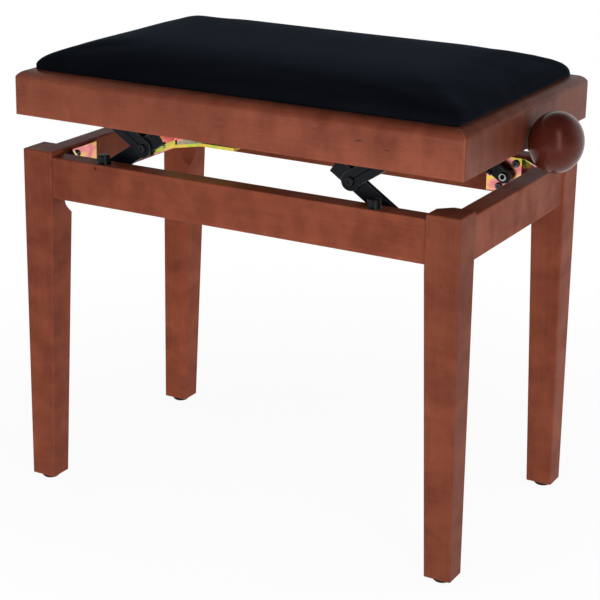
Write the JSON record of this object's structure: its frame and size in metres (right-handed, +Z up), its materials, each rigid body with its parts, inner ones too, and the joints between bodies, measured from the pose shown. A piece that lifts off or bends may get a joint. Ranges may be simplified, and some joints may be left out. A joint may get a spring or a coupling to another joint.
{
  "type": "piano bench",
  "caption": "Piano bench with a velour cushion on a stained wood frame, raised and lowered by a scissor linkage that a threaded spindle with a wooden ball knob drives.",
  "frame": {"origin": "on the floor, at the middle of the box round the bench and its side knob", "axes": "+X along the bench to the knob end, +Y from the front to the rear, +Z up"},
  "size_m": [0.608, 0.338, 0.53],
  "materials": {
    "stained_wood": "reddish brown stained hardwood under satin lacquer",
    "knob_wood": "dark stained turned wood under gloss lacquer",
    "plywood": "bare plywood",
    "velour": "black short-pile velour",
    "glide_plastic": "dark moulded plastic",
    "bumper_rubber": "black moulded rubber",
    "zinc_plate": "yellow iridescent zinc plating on steel sheet",
    "black_steel": "black satin paint on pressed steel",
    "bush_brass": "plain turned brass",
    "bright_steel": "bright zinc-plated steel"
  },
  "bodies": {
    "base": {"apron_screws": "bright_steel", "base_pivot_studs": "bright_steel", "front_apron": "stained_wood", "front_left_corner_bracket": "zinc_plate", "front_left_foot_glide": "glide_plastic", "front_left_leg": "stained_wood", "front_left_stop_bumper": "bumper_rubber", "front_right_corner_bracket": "zinc_plate", "front_right_foot_glide": "glide_plastic", "front_right_leg": "stained_wood", "front_right_stop_bumper": "bumper_rubber", "left_apron": "stained_wood", "leg_bolts": "bright_steel", "leg_nuts": "bright_steel", "rear_apron": "stained_wood", "rear_left_corner_bracket": "zinc_plate", "rear_left_foot_glide": "glide_plastic", "rear_left_leg": "stained_wood", "rear_left_stop_bumper": "bumper_rubber", "rear_right_corner_bracket": "zinc_plate", "rear_right_foot_glide": "glide_plastic", "rear_right_leg": "stained_wood", "rear_right_stop_bumper": "bumper_rubber", "right_apron": "stained_wood"},
    "seat": {"cushion": "velour", "front_left_hinge_bracket": "zinc_plate", "front_rail": "stained_wood", "front_right_hinge_bracket": "zinc_plate", "hinge_screws": "bright_steel", "left_rail": "stained_wood", "left_spindle_bush": "bush_brass", "rear_left_hinge_bracket": "zinc_plate", "rear_rail": "stained_wood", "rear_right_hinge_bracket": "zinc_plate", "right_rail": "stained_wood", "right_spindle_bush": "bush_brass", "seat_board": "plywood"},
    "spindle": {"spindle": "bright_steel", "thrust_collar": "bright_steel", "knob_washer": "bright_steel", "knob": "knob_wood"},
    "left_arms": {"left_front_arm": "black_steel", "left_rear_arm": "black_steel", "left_cross_plate": "zinc_plate", "left_mid_bolts": "black_steel"},
    "left_links": {"left_front_link": "black_steel", "left_rear_link": "black_steel", "left_link_pins": "bright_steel"},
    "left_nut": {"left_nut_block": "bright_steel", "left_cross_rods": "bright_steel"},
    "right_arms": {"right_front_arm": "black_steel", "right_rear_arm": "black_steel", "right_cross_plate": "zinc_plate", "right_mid_bolts": "black_steel"},
    "right_links": {"right_front_link": "black_steel", "right_rear_link": "black_steel", "right_link_pins": "bright_steel"},
    "right_nut": {"right_nut_block": "bright_steel", "right_cross_rods": "bright_steel"}
  },
  "joints": [
    {"name": "seat_lift", "type": "slide", "parent": "base", "child": "seat", "axis": [0, 0, 1], "range_m": [-0.0357, 0.046]},
    {"name": "spindle_turn", "type": "hinge", "parent": "seat", "child": "spindle", "pos_m": [0.246, 0, 0.456], "axis": [1, 0, 0], "range_deg": [-3037.77, 2362.05]},
    {"name": "left_arm_swing", "type": "hinge", "parent": "base", "child": "left_arms", "pos_m": [-0.2235, 0, 0.3747], "axis": [0, 1, 0], "range_deg": [-21.45, 16.69]},
    {"name": "left_link_swing", "type": "hinge", "parent": "left_arms", "child": "left_links", "pos_m": [-0.15849, 0, 0.4178], "axis": [0, 1, 0], "range_deg": [-33.18, 42.7]},
    {"name": "left_nut_swing", "type": "hinge", "parent": "left_arms", "child": "left_nut", "pos_m": [-0.09348, 0, 0.4609], "axis": [0, 1, 0], "range_deg": [-16.69, 21.45]},
    {"name": "right_arm_swing", "type": "hinge", "parent": "base", "child": "right_arms", "pos_m": [0.1655, 0, 0.3747], "axis": [0, 1, 0], "range_deg": [-16.69, 21.45]},
    {"name": "right_link_swing", "type": "hinge", "parent": "right_arms", "child": "right_links", "pos_m": [0.10049, 0, 0.4178], "axis": [0, 1, 0], "range_deg": [-42.7, 33.18]},
    {"name": "right_nut_swing", "type": "hinge", "parent": "right_arms", "child": "right_nut", "pos_m": [0.03548, 0, 0.4609], "axis": [0, 1, 0], "range_deg": [-21.45, 16.69]}
  ],
  "couplings": [
    {"joint": "spindle_turn", "follows": "seat_lift", "rad_per_m": -1145},
    {"joint": "left_arm_swing", "follows": "seat_lift", "rad_per_m": -8.0623},
    {"joint": "left_link_swing", "follows": "seat_lift", "rad_per_m": 16.125},
    {"joint": "left_nut_swing", "follows": "seat_lift", "rad_per_m": 8.0623},
    {"joint": "right_arm_swing", "follows": "seat_lift", "rad_per_m": 8.0623},
    {"joint": "right_link_swing", "follows": "seat_lift", "rad_per_m": -16.125},
    {"joint": "right_nut_swing", "follows": "seat_lift", "rad_per_m": -8.0623}
  ]
}
